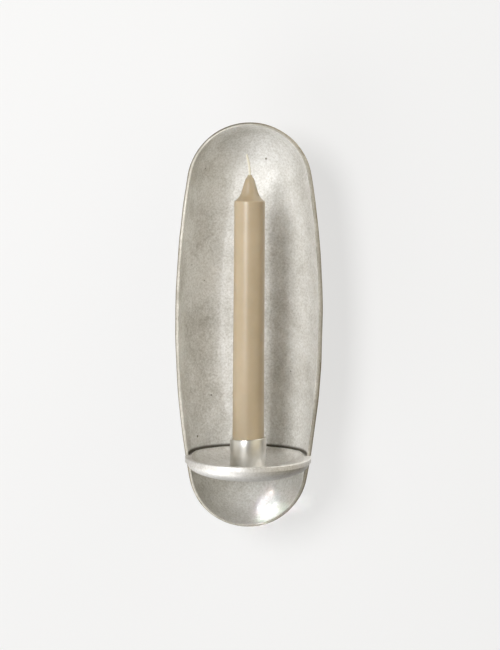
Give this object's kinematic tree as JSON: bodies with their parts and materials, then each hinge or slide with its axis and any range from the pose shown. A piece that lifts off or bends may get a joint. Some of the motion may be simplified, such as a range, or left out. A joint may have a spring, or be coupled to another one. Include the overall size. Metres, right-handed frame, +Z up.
{
  "type": "wall candle sconce",
  "caption": "Wall sconce: a deep oval cast dish with a round drip tray across its lower end and a candle cup that holds a dinner candle.",
  "frame": {"origin": "on the wall plane, at the hanger plate's back face, on the centre line just above the keyhole", "axes": "+Z up, +Y into the wall, so the open front of the dish faces -Y, and +X to the right seen from the front"},
  "size_m": [0.1028, 0.099, 0.282],
  "materials": {
    "cast_aluminium": "sand cast and brushed, satin",
    "turned_aluminium": "brushed satin",
    "zinc_steel": "zinc plated",
    "wax": "smooth soft sheen",
    "cotton_wick": "waxed braid",
    "rubber": "matt"
  },
  "bodies": {
    "sconce": {"back_dish": "cast_aluminium", "drip_tray": "cast_aluminium", "candle_cup": "turned_aluminium", "cup_screw": "zinc_steel", "cup_washer": "zinc_steel", "tray_screw_left": "zinc_steel", "tray_screw_right": "zinc_steel", "tray_washer_left": "zinc_steel", "tray_washer_right": "zinc_steel", "hanger_plate": "zinc_steel", "hanger_screw_left": "zinc_steel", "hanger_screw_right": "zinc_steel", "wall_bumper_left": "rubber", "wall_bumper_right": "rubber"},
    "candle": {"candle_wax": "wax", "candle_wick": "cotton_wick"}
  },
  "joints": [
    {"name": "candle_lift", "type": "slide", "parent": "sconce", "child": "candle", "axis": [0, 0, 1], "range_m": [0, 0.03]}
  ]
}
